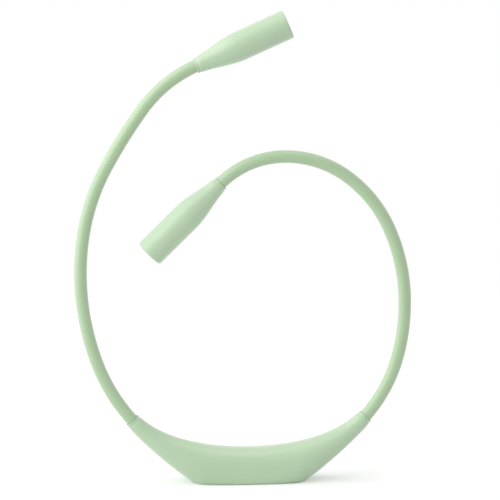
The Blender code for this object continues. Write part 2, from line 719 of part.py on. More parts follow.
def leads():
    """The battery's two wires, and the wire to each arm."""
    start_x = BATTERY_LENGTH / 2 + GAP
    middle_y = BATTERY_REAR - BATTERY_THICKNESS / 2
    reach = BATTERY_LEAD_REACH
    for name, look, step in (("battery_lead_positive", "red", 1), ("battery_lead_negative", "dark", 0)):
        z = BOARD_MIDDLE_HEIGHT - BATTERY_LEAD_DROP + step * BATTERY_LEAD_SPACING
        end = Vector((start_x + reach, BOARD_FRONT - GAP, z))
        start = Vector((start_x, middle_y, min(z, WALL + BATTERY_HEIGHT - BATTERY_LEAD_DIAMETER)))
        lead(name, BATTERY_LEAD_DIAMETER, look, curve_points(
            start, start + Vector((reach, 0, 0)), end - Vector((0, reach / 2, 0)), end,
            BATTERY_LEAD_STEPS))
    y = BOARD_REAR + GAP + LAMP_LEAD_DIAMETER / 2
    start = Vector((BOARD_END - LAMP_LEAD_DIAMETER, y, BOARD_MIDDLE_HEIGHT))
    middle, up, half_height, _ = section_frame(SCREW_SHARES[0][0])
    under_boss = middle - up * half_height * LAMP_LEAD_DROP_SHARE + Vector((0, y / 2, 0))
    end, heading = arm_place("right", -FERRULE_MIDDLE - FERRULE_LENGTH / 2 - GAP)
    along = Vector((up.z, 0, -up.x))
    route = sweep(start, direction(0), under_boss, along, LAMP_LEAD_STEPS)
    route += sweep(under_boss, along, end, direction(heading), LAMP_LEAD_STEPS)[1:]
    for side, sign in SIGNS.items():
        lead(side + "_lamp_lead", LAMP_LEAD_DIAMETER, "white",
             [(sign * p.x, p.y, p.z) for p in route])


def switches_and_buttons():
    """A switch on the board under each button, and the button that is held by its flange."""
    z, half = BOARD_MIDDLE_HEIGHT, SWITCH_SIZE / 2
    radius, flange, stem = (d / 2 for d in
                            (BUTTON_DIAMETER, BUTTON_FLANGE_DIAMETER, BUTTON_STEM_DIAMETER))
    flange_top = BUTTON_TOP - BUTTON_PROUD - BUTTON_FLANGE_DROP
    flange_low = flange_top - BUTTON_FLANGE_THICKNESS
    stem_end = PLUNGER_TOP + GAP + BUTTON_TRAVEL
    crown = [(0, BUTTON_TOP), (radius - 2 * BUTTON_EDGE, BUTTON_TOP - BUTTON_CROWN),
             (radius, BUTTON_TOP - BUTTON_EDGE)]
    profile = crown + [(radius, flange_top), (flange, flange_top), (flange, flange_low),
                       (stem, flange_low), (stem, stem_end), (0, stem_end)]
    for side, sign in SIGNS.items():
        x = sign * BUTTON_X
        switch = object_of(side + "_switch", add_box(
            bmesh.new(), (x - half, SWITCH_BACK, z - half),
            (x + half, SWITCH_BACK + SWITCH_HEIGHT, z + half)))
        combine(switch, "UNION", tool(side + "_plunger", add_peg(
            bmesh.new(), PLUNGER_DIAMETER / 2, (x, SWITCH_BACK + GAP, z), (x, PLUNGER_TOP, z),
            BOSS_SIDES)))
        place(switch, "dark")
        slider = pivot(side + "_button_axis", Vector((x, 0, z)))
        place(turned(side + "_button", profile, BUTTON_SIDES), "housing", facing_rear(x, z), slider)


# Pieces of the arms and the lamp heads

def arm_axis(side, distance):
    """A world matrix at a place on an arm, with its Z along the arm."""
    point, heading = arm_place(side, distance)
    return Matrix.Translation(point) @ Matrix.Rotation(math.pi / 2 - heading, 4, "Y")


def ferrule(name, side, middle, parent):
    """The crimped ring that holds the end of an arm's core."""
    inner, outer, half = CORE_RADIUS + GAP, ARM_RADIUS, FERRULE_LENGTH / 2
    profile = [(outer, half), (outer, -half), (inner, -half), (inner, half)]
    ring = turned(name, profile, BOSS_SIDES, closed=True)
    place(ring, "aluminium", arm_axis(side, middle), parent)


def arm(side):
    """An arm as a chain of rigid links, each on its own pivot, and the head at its end."""
    parent = None
    for number in range(len(BENDS[side]) + 1):
        if number:
            point = arm_place(side, joint_distance(number))[0]
            parent = pivot("%s_arm_pivot_%d" % (side, number), point, parent)
        name = "%s_sleeve_%d" % (side, number + 1)
        place(object_of(name, loft(sleeve_rings(side, number), closed=True)), "sleeve", None, parent)
        name = "%s_core_%d" % (side, number + 1)
        place(object_of(name, loft(core_rings(side, number))), "steel", None, parent)
    ferrule(side + "_housing_ferrule", side, -FERRULE_MIDDLE, None)
    ferrule(side + "_head_ferrule", side, ARM_LENGTH + FERRULE_MIDDLE, parent)
    lamp_head(side, parent)


def taper_points():
    """The barrel's outer side from its widest place down to the neck."""
    neck, barrel = NECK_DIAMETER / 2, HEAD_DIAMETER / 2
    return [(neck + (barrel - neck) * ease(i / TAPER_STEPS), TAPER_LENGTH * i / TAPER_STEPS)
            for i in range(TAPER_STEPS, -1, -1)]


def lamp_head(side, parent):
    """The barrel, and from back to front inside it the lamp board, reflector and lens."""
    axis = arm_axis(side, ARM_LENGTH)
    bore, chamber = LAMP_BORE / 2, CHAMBER_BORE / 2
    lens_front = HEAD_LENGTH - LENS_RECESS
    lens_back = lens_front - LENS_THICKNESS
    reflector_back = lens_back - GAP - REFLECTOR_LENGTH
    board_front = reflector_back - GAP
    board_back = board_front - LED_BOARD_THICKNESS
    seat = board_back - GAP
    inside = [(ARM_BORE_RADIUS, 0), (ARM_BORE_RADIUS, NECK_BORE_DEPTH),
              (chamber, seat - CHAMBER_LENGTH), (chamber, seat), (bore, seat), (bore, HEAD_LENGTH)]
    outside = fillet(HEAD_DIAMETER / 2, HEAD_LENGTH, RIM_FILLET) + taper_points()
    shell = turned(side + "_head_shell", outside + inside, HEAD_SIDES, closed=True)
    place(shell, "housing", axis, parent)

    fit = bore - GAP
    lens = [(0, lens_front), (fit * LENS_CROWN_SHARE, lens_front - LENS_CROWN / 2),
            (fit, lens_front - LENS_CROWN), (fit, lens_back), (0, lens_back)]
    place(turned(side + "_lens", lens, HEAD_SIDES), "clear", axis, parent)

    top, throat = reflector_back + REFLECTOR_LENGTH, REFLECTOR_THROAT / 2
    waist = (throat + fit - REFLECTOR_LIP) / 2
    reflector = [(fit, top), (fit, reflector_back), (throat, reflector_back),
                 (waist + REFLECTOR_LIP, reflector_back + REFLECTOR_LENGTH * REFLECTOR_WAIST_SHARE),
                 (fit - REFLECTOR_LIP, top)]
    place(turned(side + "_reflector", reflector, HEAD_SIDES, closed=True), "mirror", axis, parent)

    board = object_of(side + "_lamp_board", add_peg(
        bmesh.new(), fit, (0, 0, board_back), (0, 0, board_front), HEAD_SIDES))
    lamps, half = bmesh.new(), LED_SIZE / 2
    for i in range(LED_COUNT):
        angle = 2 * math.pi * i / LED_COUNT
        x, y = LED_RING_RADIUS * math.cos(angle), LED_RING_RADIUS * math.sin(angle)
        add_box(lamps, (x - half, y - half, board_front - GAP),
                (x + half, y + half, board_front + LED_HEIGHT))
    lamp_tool = tool(side + "_lamps", lamps)
    lamp_tool.matrix_world = axis
    combine(board, "UNION", lamp_tool)
    place(board, "board", axis, parent)


housing_shells()
screws()
circuit_board()
light_guide()
charging_socket()
battery()
leads()
switches_and_buttons()
arm("left")
arm("right")
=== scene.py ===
"""The looks of a neck reading light: a crescent battery housing that stands on its flat base,
two bendable arms, and a tapered lamp head on each arm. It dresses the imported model. Metres,
+Z up, the front faces -Y, and the origin is the middle of the flat base."""
import json
import math

import bmesh
import bpy
from mathutils import Matrix, Vector

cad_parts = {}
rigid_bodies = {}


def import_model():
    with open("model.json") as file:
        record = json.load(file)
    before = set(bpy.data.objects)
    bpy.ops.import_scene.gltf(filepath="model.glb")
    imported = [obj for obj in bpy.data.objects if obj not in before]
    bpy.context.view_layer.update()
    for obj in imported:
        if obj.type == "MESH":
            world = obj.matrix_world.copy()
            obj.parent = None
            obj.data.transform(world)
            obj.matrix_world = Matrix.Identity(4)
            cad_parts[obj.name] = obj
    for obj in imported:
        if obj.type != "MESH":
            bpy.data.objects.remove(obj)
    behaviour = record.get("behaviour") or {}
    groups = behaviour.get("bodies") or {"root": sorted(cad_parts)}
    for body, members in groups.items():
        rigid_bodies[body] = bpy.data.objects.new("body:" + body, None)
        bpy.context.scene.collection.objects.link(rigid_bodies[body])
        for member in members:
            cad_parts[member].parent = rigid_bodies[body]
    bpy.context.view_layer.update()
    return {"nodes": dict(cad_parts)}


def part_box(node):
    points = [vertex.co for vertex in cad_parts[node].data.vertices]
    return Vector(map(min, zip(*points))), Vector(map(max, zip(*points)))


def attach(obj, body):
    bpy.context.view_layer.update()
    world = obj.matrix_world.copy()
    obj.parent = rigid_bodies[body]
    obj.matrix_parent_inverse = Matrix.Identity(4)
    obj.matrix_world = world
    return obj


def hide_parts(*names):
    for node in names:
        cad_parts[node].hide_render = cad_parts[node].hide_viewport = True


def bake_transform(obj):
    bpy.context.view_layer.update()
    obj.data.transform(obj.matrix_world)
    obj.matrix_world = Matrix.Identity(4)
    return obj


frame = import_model()

MM = 0.001
GAP = 0.3 * MM
OVERRUN = 6 * MM
WELD_DISTANCE = GAP / 100
CUT_TOLERANCE = GAP / 1000
SHARP_ANGLE = math.radians(35)
NOISE_DETAIL = 2.0

# The photograph's view of the light
VIEW_AZIMUTH = math.radians(-4.2)
VIEW_ELEVATION = math.radians(11)
VIEW_DISTANCE = 1.8
VIEW_WIDTH = 277.5 * MM
VIEW_TARGET = Vector((0.5 * MM, 0, 132 * MM))
SENSOR_WIDTH = 36.0
CLIP_START = 0.05
CLIP_END = 50

# The studio's white room, floor and two lamps
WORLD_STRENGTH = 0.61
FLOOR_GREY = 0.8
FLOOR_LIFT = 0.31
FLOOR_REACH = 0.5
FLOOR_DROP = 0.02 * MM
KEY_PLACE = Vector((-1.33, -0.28, 0.75))
KEY_SIZE = 2.2
KEY_POWER = 22.5
TOP_PLACE = Vector((0.2, 0.0, 1.6))
TOP_SIZE = 1.0
TOP_POWER = 3.7

# Housing
HOUSING_HEIGHT = 19.3 * MM
HOUSING_DEPTH = 22 * MM
BASE_LENGTH = 64 * MM
WALL = 1.6 * MM
MOUTH_SPAN = 131.2 * MM
MOUTH_HEIGHT = 36.15 * MM
MOUTH_DIAMETER = 8.9 * MM
MOUTH_ANGLE = math.radians(49)
INLET_CURVE_RADIUS = 60 * MM
TOP_END_ANGLE = math.radians(47)
UNDERSIDE_END_ANGLE = math.radians(50)
BASE_CORNER_ANGLE = math.radians(35)
TOP_MIDDLE_REACH = 15.5 * MM
TOP_END_REACH = 23.5 * MM
UNDERSIDE_CORNER_REACH = 20.5 * MM
UNDERSIDE_END_REACH = 8.5 * MM
BASE_TRIM = 2 * MM
SEAM_OFFSET = 5 * MM
MOUTH_BORE_DEPTH = 15 * MM
MOUTH_FILLET = 0.36 * MM
LIP_INSET = 0.5 * MM
LIP_LENGTH = 4 * MM
LIP_STATIONS = 8
BEAD_LENGTH = 1.15 * MM
BEAD_HEIGHT = 0.26 * MM
SLEEVE_FIT = 0.2 * MM
BASE_FILLET = 0.35 * MM
FOOT_HEIGHT = 0.6 * MM
FOOT_INSET = 0.5 * MM
FOOT_DRAFT = 0.03 * MM
CAVITY_END_SHARE = 0.82
COVER_END_SHARE = 0.75
FULL_DEPTH_SHARE = 0.3
BOXY_END_SHARE = 0.42
POST_ROOT_SHARE = 0.6
SCREW_SHARES = ((0.66, 0.1), (0.325, -0.42))
TOP_SQUARENESS = 2.3
BASE_SQUARENESS = 6.5
HOUSING_STATIONS = 48
HOUSING_SIDES = 72
CAVITY_STATIONS = 16
CAVITY_SIDES = 24
OUTLINE_STEPS = 80
FILLET_STEPS = 4

# Arms
ARM_LENGTH = 228 * MM
ARM_RADIUS = 3.54 * MM
SLEEVE_BORE_RADIUS = 2.6 * MM
CORE_RADIUS = 2.3 * MM
CORE_PITCH = 1.6 * MM
CORE_GROOVE = 0.25 * MM
SLEEVE_INSERT = 7.5 * MM
CORE_PAST_SLEEVE = 3.5 * MM
LEFT_BENDS = [math.radians(angle) for angle in (-21.1, -14.6, -15.4, -18.4, -7.4, -30.0)]
RIGHT_BENDS = [math.radians(angle) for angle in (26.1, 18.5, 20.9, 29.1, 37.4, 43.6)]
BEND_REACH = 17 * MM
SLEEVE_SIDES = 48
CORE_SIDES = 16
RING_SPACING = 1 * MM
BORE_RING_SPACING = 2 * MM
CORE_TURN_STEPS = 4

# Lamp heads
HEAD_LENGTH = 56 * MM
HEAD_RADIUS = 8.2 * MM
NECK_RADIUS = 4.55 * MM
TAPER_LENGTH = 26.8 * MM
RIM_FILLET = 1.1 * MM
NECK_FILLET = 0.36 * MM
NECK_BORE_DEPTH = 12.5 * MM
LAMP_BORE_RADIUS = 6.9 * MM
CHAMBER_RADIUS = 5.6 * MM
CHAMBER_LENGTH = 27 * MM
LENS_RECESS = 0.7 * MM
LENS_THICKNESS = 1.4 * MM
LENS_CROWN = 0.3 * MM
LENS_SHARES = (0, 0.25, 0.5, 0.7, 0.85, 0.96)
LENS_EDGE_SHARE = 1.6
REFLECTOR_LENGTH = 7.8 * MM
REFLECTOR_THROAT_RADIUS = 4.6 * MM
REFLECTOR_LIP = 0.3 * MM
LED_BOARD_THICKNESS = 1 * MM
LED_SIZE = 2.2 * MM
LED_HEIGHT = 0.8 * MM
LED_EDGE = 0.12 * MM
LED_RING_RADIUS = 2.4 * MM
PHOSPHOR_RADIUS = 0.85 * MM
PHOSPHOR_HEIGHT = 0.4 * MM
PHOSPHOR_EDGE = 0.36 * MM
LED_COUNT = 3
HEAD_SIDES = 96
TAPER_STEPS = 28
BOWL_STEPS = 12

# Small pieces at the rear
BOARD_MIDDLE_HEIGHT = 12 * MM
BOARD_REAR = 2 * MM
BUTTON_SHARE = 0.445
BUTTON_RADIUS = 3.5 * MM
BUTTON_PROUD = 0.8 * MM
BUTTON_EDGE = 0.4 * MM
BUTTON_DISH = 0.15 * MM
BUTTON_DISH_SHARES = ((0, 1), (0.4, 0.8), (0.72, 0.25))
BUTTON_DISH_RIM = 0.01 * MM
BUTTON_ARC_START = 80
BUTTON_FLANGE_RADIUS = 4.3 * MM
BUTTON_FLANGE_THICKNESS = 0.8 * MM
BUTTON_FLANGE_DROP = 3.5 * MM
BUTTON_STEM_RADIUS = 1.2 * MM
STATUS_OFFSET = 9.5 * MM
LIGHT_GUIDE_RADIUS = 1 * MM
LIGHT_GUIDE_EDGE = 0.3 * MM
SOCKET_WIDTH = 8.94 * MM
SOCKET_HEIGHT = 3.26 * MM
SOCKET_WALL = 0.3 * MM
SOCKET_DEPTH = 6 * MM
SOCKET_RECESS = 0.6 * MM
SOCKET_ROUND_SHARE = 0.95
TONGUE_WIDTH = 6.7 * MM
TONGUE_THICKNESS = 0.7 * MM
TONGUE_LENGTH = 4.6 * MM
TONGUE_CORNER = 0.6 * MM
CONTACT_COUNT = 12
CONTACT_PITCH = 0.5 * MM
CONTACT_WIDTH = 0.25 * MM
CONTACT_LENGTH = 3.2 * MM
CONTACT_THICKNESS = 0.05 * MM
SCREW_HEAD_RADIUS = 1.8 * MM
SCREW_HEAD_HEIGHT = 0.9 * MM
SCREW_EDGE = 0.25 * MM
SCREW_SHANK_RADIUS = 1 * MM
SCREW_LENGTH = 7 * MM
SCREW_SEAT = 1 * MM
CROSS_LENGTH = 2.2 * MM
CROSS_WIDTH = 0.5 * MM
CROSS_DEPTH = 0.55 * MM
POST_RADIUS = 2.7 * MM
BOSS_RADIUS = 2.2 * MM
PEG_SIDES = 32
CAP_SIDES = 64

# Sizes that follow from the ones above
MOUTH_RADIUS = MOUTH_DIAMETER / 2
HALF_DEPTH = HOUSING_DEPTH / 2
ARM_BORE_RADIUS = ARM_RADIUS + SLEEVE_FIT
BENDS = {"left": LEFT_BENDS, "right": RIGHT_BENDS}
SIGNS = {"left": -1, "right": 1}
JOINTS = len(LEFT_BENDS)
LINK_LENGTH = ARM_LENGTH / JOINTS
COUNTERBORE_FLOOR = SEAM_OFFSET + SCREW_SEAT
SOCKET_MOUTH = HALF_DEPTH - SOCKET_RECESS


# Materials

def linear(hex_colour):
    """An sRGB hex colour as linear red, green, blue and alpha."""
    parts = [int(hex_colour[i:i + 2], 16) / 255 for i in (0, 2, 4)]
    return [c / 12.92 if c <= 0.04045 else ((c + 0.055) / 1.055) ** 2.4 for c in parts] + [1]


def add(tree, kind, inputs=None, **settings):
    """Adds a shader node with its settings. An input is given a value, or a socket to link."""
    made = tree.nodes.new("ShaderNode" + kind)
    for name, value in settings.items():
        setattr(made, name, value)
    for key, value in (inputs or {}).items():
        if isinstance(value, bpy.types.NodeSocket):
            tree.links.new(value, made.inputs[key])
        else:
            made.inputs[key].default_value = value
    return made


def finish(name, colour, roughness, metallic=0.0, more=None):
    """A material whose values are the same all over, before any pattern is added to it."""
    material = bpy.data.materials.new(name)
    material.use_nodes = True
    shader = material.node_tree.nodes["Principled BSDF"]
    values = {"Base Color": linear(colour), "Roughness": roughness, "Metallic": metallic}
    for socket, value in {**values, **(more or {})}.items():
        shader.inputs[socket].default_value = value
    return material


def mottle(material, spacing, colours, roughnesses):
    """Lets the colour and the roughness drift a little between patches of the surface."""
    tree = material.node_tree
    shader = tree.nodes["Principled BSDF"]
    place = add(tree, "TexCoord").outputs["Object"]
    patches = add(tree, "TexNoise", {"Vector": place, "Scale": 1 / spacing,
                                     "Detail": NOISE_DETAIL})
    share = patches.outputs["Fac"]
    low, high = linear(colours[0]), linear(colours[1])
    mixed = add(tree, "Mix", {0: share, 6: low, 7: high}, data_type="RGBA")
    tree.links.new(mixed.outputs[2], shader.inputs["Base Color"])
    rough = add(tree, "MapRange", {"Value": share, "To Min": roughnesses[0],
                                   "To Max": roughnesses[1]})
    tree.links.new(rough.outputs["Result"], shader.inputs["Roughness"])


def grain(material, spacing, depth):
    """Fine bumps all over, as the sides of a mould leave them."""
    tree = material.node_tree
    place = add(tree, "TexCoord").outputs["Object"]
    bumps = add(tree, "TexNoise", {"Vector": place, "Scale": 1 / spacing,
                                   "Detail": NOISE_DETAIL})
    lifted = add(tree, "Bump", {"Height": bumps.outputs["Fac"], "Distance": depth})
    tree.links.new(lifted.outputs["Normal"], tree.nodes["Principled BSDF"].inputs["Normal"])
    return lifted


def rings(material, pitch, depth, under):
    """Faint rings round an arm, where the turns of the core press on the sleeve."""
    tree = material.node_tree
    along = add(tree, "Attribute", attribute_name="along").outputs["Fac"]
    turns = add(tree, "Math", {0: along, 1: 2 * math.pi / pitch}, operation="MULTIPLY")
    wave = add(tree, "Math", {0: turns.outputs[0]}, operation="SINE")
    lifted = add(tree, "Bump", {"Height": wave.outputs[0], "Distance": depth,
                                "Normal": under.outputs["Normal"]})
    tree.links.new(lifted.outputs["Normal"], tree.nodes["Principled BSDF"].inputs["Normal"])


def soft_touch_abs():
    """ABS with a soft-touch coat: a broad, weak shine over an even mint green. The coat's
    grain is finer than the render shows, so it is drawn at 0.5 mm."""
    made = finish("soft_touch_abs", "b9d4b0", 0.4, more={
        "IOR": 1.5, "Coat Weight": 1.0, "Coat Roughness": 0.35, "Sheen Weight": 0.3,
        "Sheen Roughness": 0.4})
    mottle(made, 30 * MM, ("b7d3ae", "bbd5b2"), (0.38, 0.42))
    grain(made, 0.5 * MM, 0.004 * MM)
    return made


def silicone_sleeve():
    """Extruded silicone, a little deeper in colour than the housing and more matte. Its grain
    is drawn at 0.5 mm too."""
    made = finish("silicone_sleeve", "afcca2", 0.44, more={
        "IOR": 1.43, "Coat Weight": 1.0, "Coat Roughness": 0.35, "Sheen Weight": 0.3,
        "Sheen Roughness": 0.4})
    mottle(made, 22 * MM, ("adcaa1", "b1cea5"), (0.42, 0.47))
    rings(made, CORE_PITCH, 0.0015 * MM, grain(made, 0.5 * MM, 0.004 * MM))
    return made


def clear_polycarbonate():
    """Moulded polycarbonate, polished: almost invisible but for its reflections."""
    made = finish("clear_polycarbonate", "f6faf8", 0.04,
                  more={"IOR": 1.585, "Transmission Weight": 1.0})
    grain(made, 6 * MM, 0.002 * MM)
    return made


def frosted_acrylic():
    """Acrylic rod with a sanded end, which spreads the light that it carries."""
    made = finish("frosted_acrylic", "f1f3f0", 0.5,
                  more={"IOR": 1.49, "Transmission Weight": 0.5})
    grain(made, 0.3 * MM, 0.01 * MM)
    return made


def aluminised_plastic():
    """Plastic with a film of evaporated aluminium, which mirrors with a slight haze."""
    made = finish("aluminised_plastic", "e8e9ea", 0.12, metallic=1.0)
    mottle(made, 2 * MM, ("e4e6e7", "ebeced"), (0.1, 0.16))
    return made


def zinc_plated_steel():
    """Cold-headed steel with clear zinc plating: a grey metal with a soft shine."""
    made = finish("zinc_plated_steel", "b9bcbf", 0.32, metallic=1.0)
    mottle(made, 1 * MM, ("b2b5b8", "c1c4c6"), (0.28, 0.38))
    return made


def nickel_plated_steel():
    """Stamped steel with nickel plating, brighter and a little warmer than zinc."""
    made = finish("nickel_plated_steel", "c9c5bd", 0.22, metallic=1.0)
    mottle(made, 1.5 * MM, ("c4c0b8", "cecac3"), (0.18, 0.28))
    return made


def gold_plate():
    """Thin gold on copper contacts, which gives them a warm shine."""
    made = finish("gold_plate", "d9b45f", 0.25, metallic=1.0)
    mottle(made, 1 * MM, ("d3ad57", "dfbb69"), (0.2, 0.3))
    return made


def turned_aluminium():
    """Turned aluminium, its shine broken up by fine tool marks."""
    made = finish("turned_aluminium", "cbccce", 0.35, metallic=1.0)
    mottle(made, 1 * MM, ("c6c7c9", "d0d1d3"), (0.3, 0.42))
    grain(made, 0.2 * MM, 0.004 * MM)
    return made


def spring_steel():
    """Drawn steel wire as it comes off the coil: grey, with a low shine."""
    made = finish("spring_steel", "a7a9ab", 0.4, metallic=1.0)
    mottle(made, 2 * MM, ("a0a2a4", "aeb0b2"), (0.35, 0.48))
    return made


def moulded_nylon(name, low, high):
    """Filled nylon straight from the mould, with a dull even grain."""
    made = finish(name, low, 0.5, more={"IOR": 1.53})
    mottle(made, 2 * MM, (low, high), (0.45, 0.58))
    grain(made, 0.2 * MM, 0.005 * MM)
    return made


def solder_mask(name, low, high):
    """Epoxy solder mask over glass laminate: smooth, slightly uneven in colour."""
    made = finish(name, low, 0.35, more={"IOR": 1.55})
    mottle(made, 4 * MM, (low, high), (0.3, 0.42))
    grain(made, 0.6 * MM, 0.006 * MM)
    return made


def lamp_phosphor():
    """Silicone filled with yellow phosphor, over each lamp's chip."""
    made = finish("lamp_phosphor", "e8c93f", 0.35, more={"IOR": 1.41})
    mottle(made, 0.5 * MM, ("e3c035", "edd24d"), (0.3, 0.45))
    return made


def laminated_foil():
    """The aluminium laminate of a pouch cell: a grey sheen with shallow dents."""
    made = finish("laminated_foil", "c5c8cc", 0.38, metallic=0.8)
    mottle(made, 6 * MM, ("bfc2c6", "cccfd3"), (0.32, 0.46))
    grain(made, 5 * MM, 0.06 * MM)
    return made


def open_foam():
    """Grey foam tape, whose open cells leave it matt and rough."""
    made = finish("open_foam", "4b4c4f", 0.9)
    mottle(made, 1 * MM, ("434447", "55565a"), (0.85, 0.95))
    grain(made, 0.4 * MM, 0.08 * MM)
    return made


def wire_insulation(name, low, high):
    """Extruded vinyl insulation with a slight shine."""
    made = finish(name, low, 0.4, more={"IOR": 1.54})
    mottle(made, 3 * MM, (low, high), (0.36, 0.46))
    return made


ABS = soft_touch_abs()
SILICONE = silicone_sleeve()
POLYCARBONATE = clear_polycarbonate()
ACRYLIC = frosted_acrylic()
MIRROR = aluminised_plastic()
ZINC = zinc_plated_steel()
NICKEL = nickel_plated_steel()
GOLD = gold_plate()
ALUMINIUM = turned_aluminium()
SPRING = spring_steel()
NYLON = moulded_nylon("black_nylon", "1a1b1d", "232427")
GREEN_BOARD = solder_mask("green_solder_mask", "1b5636", "22633f")
WHITE_BOARD = solder_mask("white_solder_mask", "e4e6e3", "eef0ed")
PHOSPHOR = lamp_phosphor()
FOIL = laminated_foil()
FOAM = open_foam()
WIRES = {
    "battery_lead_positive": wire_insulation("red_insulation", "b0241c", "bb2f25"),
    "battery_lead_negative": wire_insulation("black_insulation", "1c1c1e", "262629"),
    "lamp_lead": wire_insulation("white_insulation", "e3e3de", "ecece8"),
}


# Making pieces

def mesh_of(name, bm):
    """A mesh from a bmesh, shaded smooth with its sharp edges kept."""
    bmesh.ops.recalc_face_normals(bm, faces=bm.faces)
    mesh = bpy.data.meshes.new(name)
    bm.to_mesh(mesh)
    bm.free()
    smooth(mesh)
    return mesh


def smooth(mesh):
    """Shades a mesh smooth, with the edges between steep faces kept sharp."""
    mesh.shade_smooth()
    mesh.set_sharp_from_angle(angle=SHARP_ANGLE)


def piece(name, mesh, look, stands_for=(), body=None, world=None):
    """Adds a piece in its finish. It stands for CAD nodes, and rides on a body if one is given."""
    if world:
        mesh.transform(world)
    made = bpy.data.objects.new(name, mesh)
    bpy.context.scene.collection.objects.link(made)
    mesh.materials.clear()
    mesh.materials.append(look)
    if stands_for:
        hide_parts(*stands_for)
    if body:
        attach(made, body)
    return made


def carved(name, bm, steps):
    """The mesh of a solid after cuts and joins, each given as an operation and a bmesh."""
    scene = bpy.context.scene.collection.objects
    solid = bpy.data.objects.new(name, mesh_of(name, bm))
    scene.link(solid)
    tools = []
    for operation, other in steps:
        tool = bpy.data.objects.new("tool", mesh_of("tool", other))
        scene.link(tool)
        tools.append(tool)
        modifier = solid.modifiers.new("cut", "BOOLEAN")
        modifier.operation = operation
        modifier.object = tool
        modifier.solver = "EXACT"
    graph = bpy.context.evaluated_depsgraph_get()
    made = bpy.data.meshes.new_from_object(solid.evaluated_get(graph))
    made.name = name
    for used in [solid] + tools:
        mesh = used.data
        bpy.data.objects.remove(used)
        bpy.data.meshes.remove(mesh)
    smooth(made)
    return made


def to_bmesh(mesh):
    """A bmesh of a mesh that isn't needed any more."""
    bm = bmesh.new()
    bm.from_mesh(mesh)
    bpy.data.meshes.remove(mesh)
    return bm


def skin(bm, rows, closed=False):
    """Faces between rows of vertices, each row a ring. A closed skin runs round to its start."""
    pairs = list(zip(rows, rows[1:]))
    if closed:
        pairs.append((rows[-1], rows[0]))
    else:
        bm.faces.new(rows[0])
        bm.faces.new(rows[-1])
    for low, high in pairs:
        for i, corner in enumerate(low):
            after = (i + 1) % len(low)
            bm.faces.new((corner, low[after], high[after], high[i]))


def loft(ring_points):
    """A closed solid through rings of points."""
    bm = bmesh.new()
    skin(bm, [[bm.verts.new(point) for point in ring] for ring in ring_points])
    return bm


def round_edges(bm, edges, size, steps=FILLET_STEPS):
    """Rounds some of the edges of a bmesh."""
    bmesh.ops.bevel(bm, geom=list(edges), offset=size, segments=steps, affect="EDGES",
                    profile=0.5)


def round_top(bm, height, size):
    """Rounds the edges that lie above a height all along."""
    round_edges(bm, [e for e in bm.edges if min(v.co.z for v in e.verts) > height], size)


def add_box(bm, low, high, edge=0.0):
    """A box between two corners. Its edges along Y are rounded where edge is set."""
    size = Vector(high) - Vector(low)
    made = bmesh.ops.create_cube(bm, size=1, matrix=Matrix.LocRotScale(
        (Vector(low) + Vector(high)) / 2, None, size))
    if edge:
        corners = set(made["verts"])
        long_edges = [e for e in bm.edges if set(e.verts) <= corners
                      and e.verts[0].co.xz == e.verts[1].co.xz]
        round_edges(bm, long_edges, edge, 2 * FILLET_STEPS)
    return bm


def add_peg(bm, radius, start, end):
    """A round peg from one point to another."""
    start, end = Vector(start), Vector(end)
    turn = (end - start).to_track_quat("Z", "Y")
    matrix = Matrix.LocRotScale((start + end) / 2, turn, None)
    bmesh.ops.create_cone(bm, cap_ends=True, segments=PEG_SIDES, radius1=radius,
                          radius2=radius, depth=(end - start).length, matrix=matrix)
    return bm


def turned(name, profile, sides, closed=False):
    """A mesh turned about Z from (radius, height) points, given down its outer side."""
    count = len(profile)
    edges = [(i, i + 1) for i in range(count - 1)] + ([(count - 1, 0)] if closed else [])
    mesh = bpy.data.meshes.new(name)
    mesh.from_pydata([(radius, 0, height) for radius, height in profile], edges, [])
    lathe = bpy.data.objects.new(name, mesh)
    bpy.context.scene.collection.objects.link(lathe)
    screw = lathe.modifiers.new("turn", "SCREW")
    screw.steps = screw.render_steps = sides
    screw.use_merge_vertices = True
    screw.merge_threshold = WELD_DISTANCE
    graph = bpy.context.evaluated_depsgraph_get()
    made = bpy.data.meshes.new_from_object(lathe.evaluated_get(graph))
    bpy.data.objects.remove(lathe)
    bpy.data.meshes.remove(mesh)
    smooth(made)
    return made


def arc(radius, height, size, start, end, steps=FILLET_STEPS):
    """Points of an arc about a centre, between two angles in degrees."""
    angles = [math.radians(start + (end - start) * i / steps) for i in range(steps + 1)]
    return [(radius + size * math.cos(a), height + size * math.sin(a)) for a in angles]


# The housing's outline and cross-sections

def curve_points(a, b, c, d):
    """Points along a cubic curve."""
    shares = [i / OUTLINE_STEPS for i in range(OUTLINE_STEPS + 1)]
    return [a * (1 - t) ** 3 + b * (3 * t * (1 - t) ** 2) + c * (3 * t * t * (1 - t))
            + d * t ** 3 for t in shares]


def path_length(path):
    """The length of a path of straight steps."""
    return sum((far - near).length for near, far in zip(path, path[1:]))


def at_share(path, share):
    """The point at a share of a path's length."""
    wanted = share * path_length(path)
    for near, far in zip(path, path[1:]):
        step = (far - near).length
        if wanted <= step:
            return near.lerp(far, wanted / step)
        wanted -= step
    return path[-1]


def direction(angle):
    """A unit vector in the plane of the arms, turned up from +X."""
    return Vector((math.cos(angle), 0, math.sin(angle)))


def ease(t):
    """A smooth step from 0 to 1."""
    t = min(max(t, 0), 1)
    return t * t * (3 - 2 * t)


